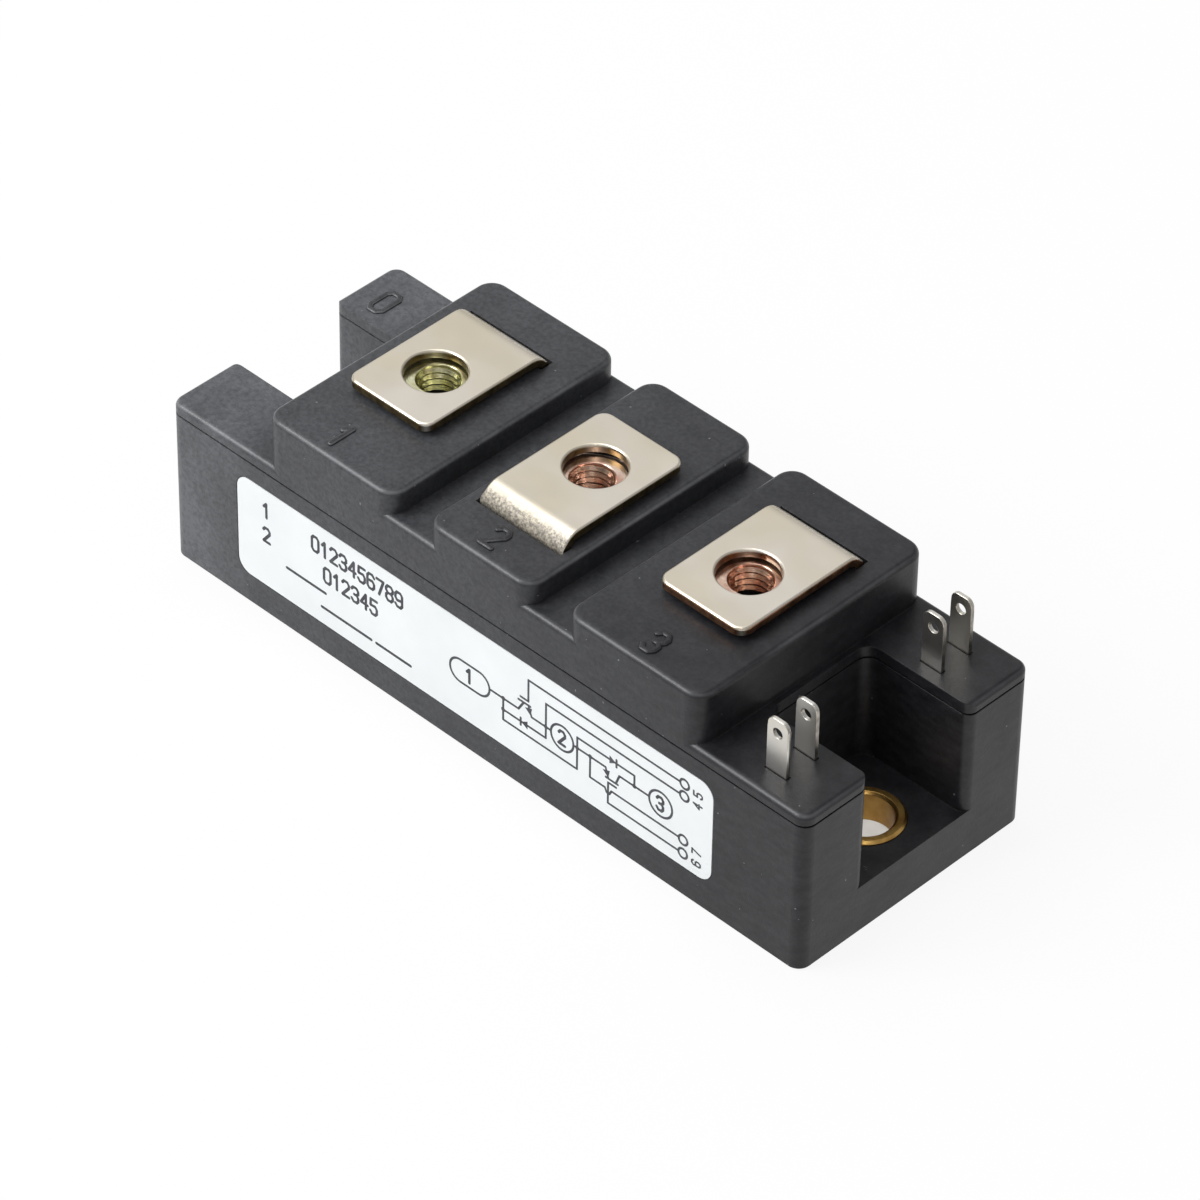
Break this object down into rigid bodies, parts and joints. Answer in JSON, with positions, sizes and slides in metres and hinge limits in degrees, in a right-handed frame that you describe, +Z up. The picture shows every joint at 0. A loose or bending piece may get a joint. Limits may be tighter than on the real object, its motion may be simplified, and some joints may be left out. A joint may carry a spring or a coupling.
{
  "type": "igbt half-bridge power module",
  "caption": "Flat half-bridge power transistor module with screw terminals on raised blocks, push-on signal tabs, a screw notch at each end and a metal baseplate.",
  "frame": {"origin": "middle of the baseplate's mounting face", "axes": "+X along the module towards the end with the signal tabs, +Y towards the side without the label, +Z up from the heatsink through the terminals"},
  "size_m": [0.094, 0.034, 0.0297],
  "materials": {
    "housing": "fine matt moulded grain",
    "base_nickel": "satin nickel plate",
    "seal_silicone": "soft satin",
    "sleeve_brass": "turned, slightly dull",
    "terminal_nickel": "satin nickel plate with coppery sheared edges",
    "nut_zinc": "yellow zinc plate",
    "tab_tin": "satin tin plate",
    "label_film": "satin white film with grey print",
    "solder_tin": "dull",
    "copper": "satin copper",
    "ceramic_white": "fine matt",
    "silicon": "metallised chip top",
    "wire_aluminium": "bright drawn wire",
    "gel_silicone": "clear soft gel"
  },
  "bodies": {
    "root": {"baseplate": "base_nickel", "base_seal": "seal_silicone", "case": "housing", "lid": "housing", "sleeve_left": "sleeve_brass", "sleeve_right": "sleeve_brass", "terminal_1": "terminal_nickel", "terminal_2": "terminal_nickel", "terminal_3": "terminal_nickel", "nut_1": "nut_zinc", "nut_2": "nut_zinc", "nut_3": "nut_zinc", "tab_4": "tab_tin", "tab_5": "tab_tin", "tab_6": "tab_tin", "tab_7": "tab_tin", "label": "label_film", "substrate_solder": "solder_tin", "back_copper": "copper", "ceramic": "ceramic_white", "track_plus": "copper", "track_middle": "copper", "track_minus": "copper", "track_gate_upper": "copper", "track_gate_lower": "copper", "chip_solder": "solder_tin", "igbt_upper": "silicon", "igbt_lower": "silicon", "diode_upper": "silicon", "diode_lower": "silicon", "power_wires_upper": "wire_aluminium", "power_wires_lower": "wire_aluminium", "gate_wires": "wire_aluminium", "gel": "gel_silicone"}
  },
  "joints": []
}
